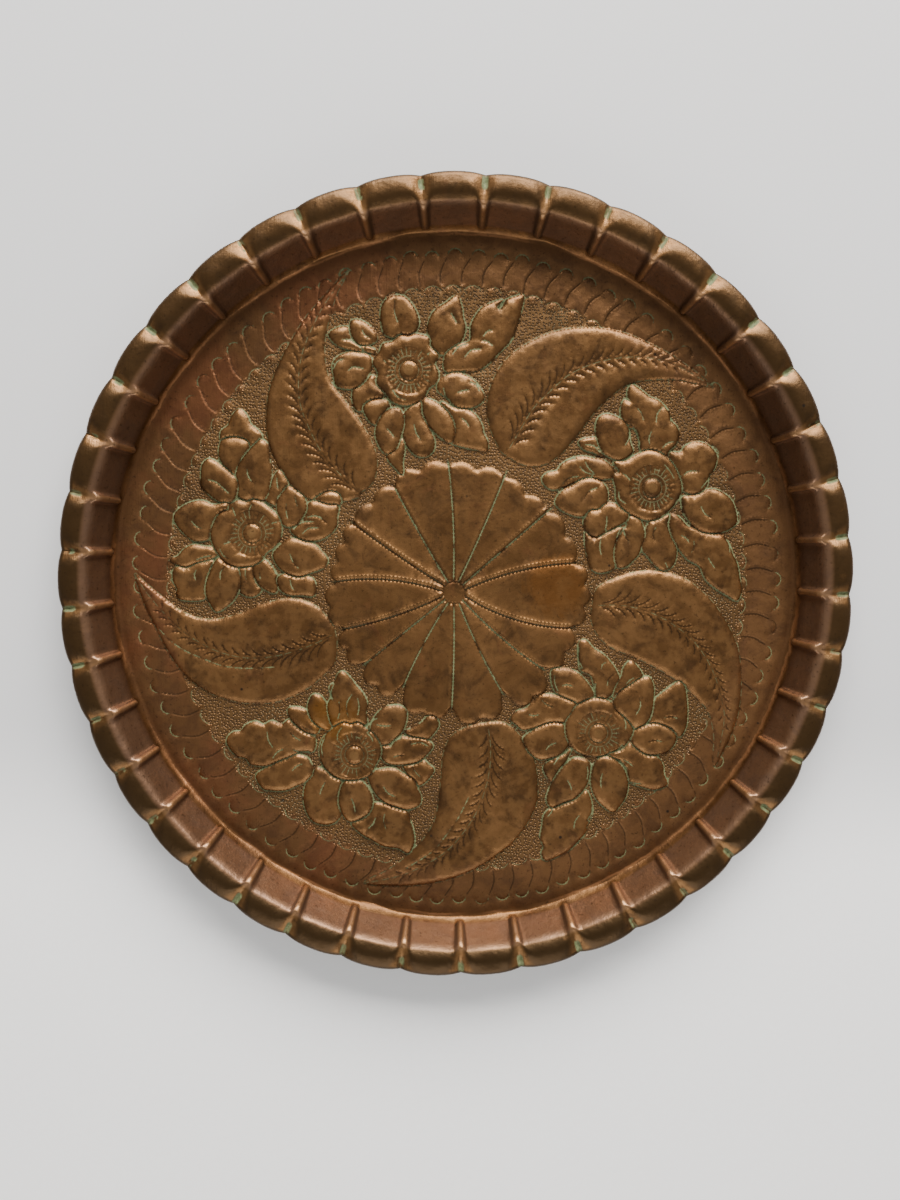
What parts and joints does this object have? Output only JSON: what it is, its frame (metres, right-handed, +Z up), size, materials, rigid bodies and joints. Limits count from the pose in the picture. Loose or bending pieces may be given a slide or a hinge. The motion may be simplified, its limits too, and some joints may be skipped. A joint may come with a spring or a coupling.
{
  "type": "hammered copper tray",
  "caption": "Round copper serving tray with a chased floor, an outward-leaning fluted wall and a scalloped lip rolled over a stiffening wire; serves food or hangs or stands as wall decoration.",
  "frame": {"origin": "centre of the underside of the floor, at the bottom of the bounding box: the tray lies on its base", "axes": "+Z up, out of the dish, square to the floor; the tray is round, so +X and +Y are any two square directions in the floor"},
  "size_m": [0.3103, 0.3147, 0.0198],
  "materials": {
    "aged_copper": "aged copper, dull brown with a half-bright worn sheen and green verdigris in the chased lines",
    "iron_wire": "dark drawn iron wire, unpolished"
  },
  "bodies": {
    "root": {"tray_sheet": "aged_copper", "rim_wire": "iron_wire"}
  },
  "joints": []
}
